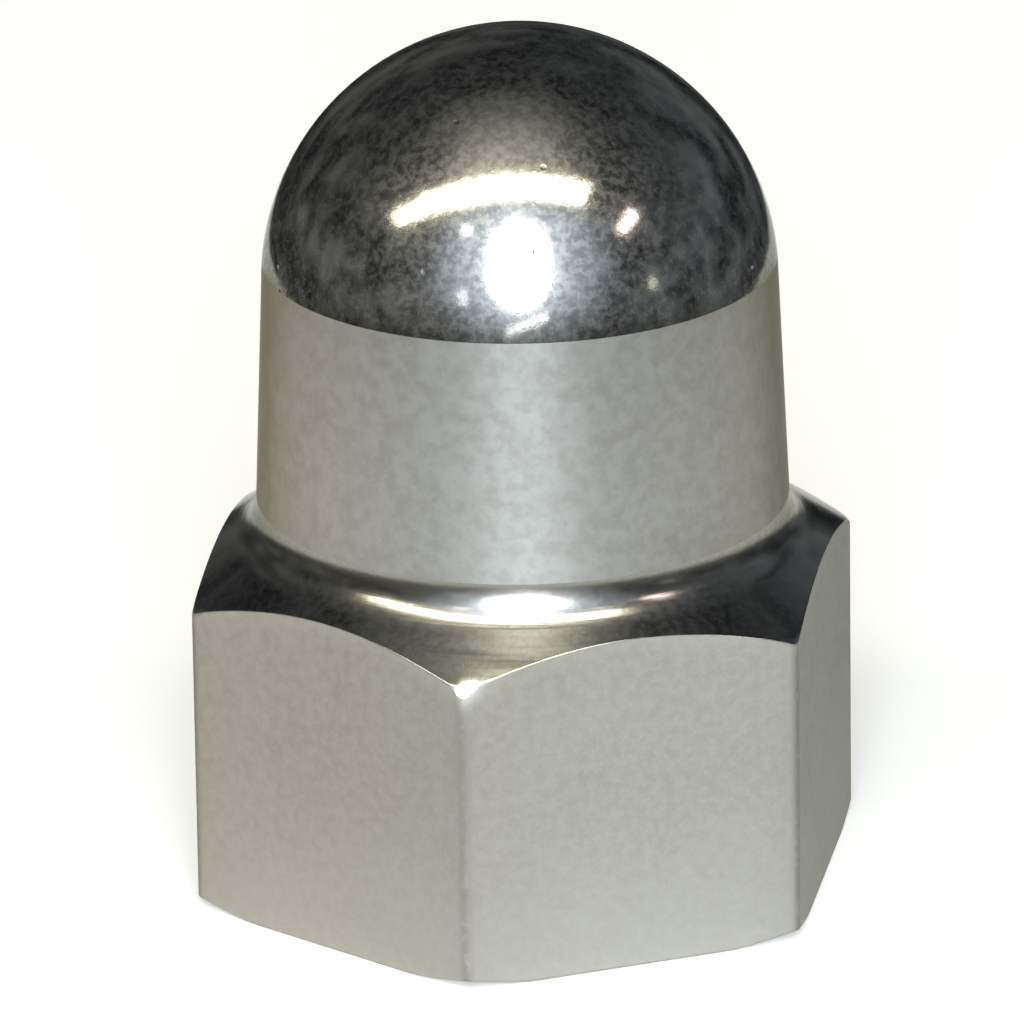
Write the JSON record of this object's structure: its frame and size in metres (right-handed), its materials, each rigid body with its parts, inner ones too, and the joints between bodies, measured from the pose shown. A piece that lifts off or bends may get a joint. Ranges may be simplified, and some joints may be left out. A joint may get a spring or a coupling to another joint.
{
  "type": "domed axle nut",
  "caption": "Bright plated hexagon nut with a tall rounded neck and a closed dome, screwed on the end of a wheel axle to clamp it and cover its thread.",
  "frame": {"origin": "centre of the flat bearing face, on the axis of the tapped hole", "axes": "+Z along the axis of the tapped hole, from the bearing face to the top of the dome; +X towards a corner of the hexagon; +Y square to a flat"},
  "size_m": [0.0174, 0.015, 0.0216],
  "materials": {
    "bright_plating": "bright plated steel: the dome and the shoulder polished, the neck and the flats satin"
  },
  "bodies": {
    "root": {"axle_nut": "bright_plating"}
  },
  "joints": []
}
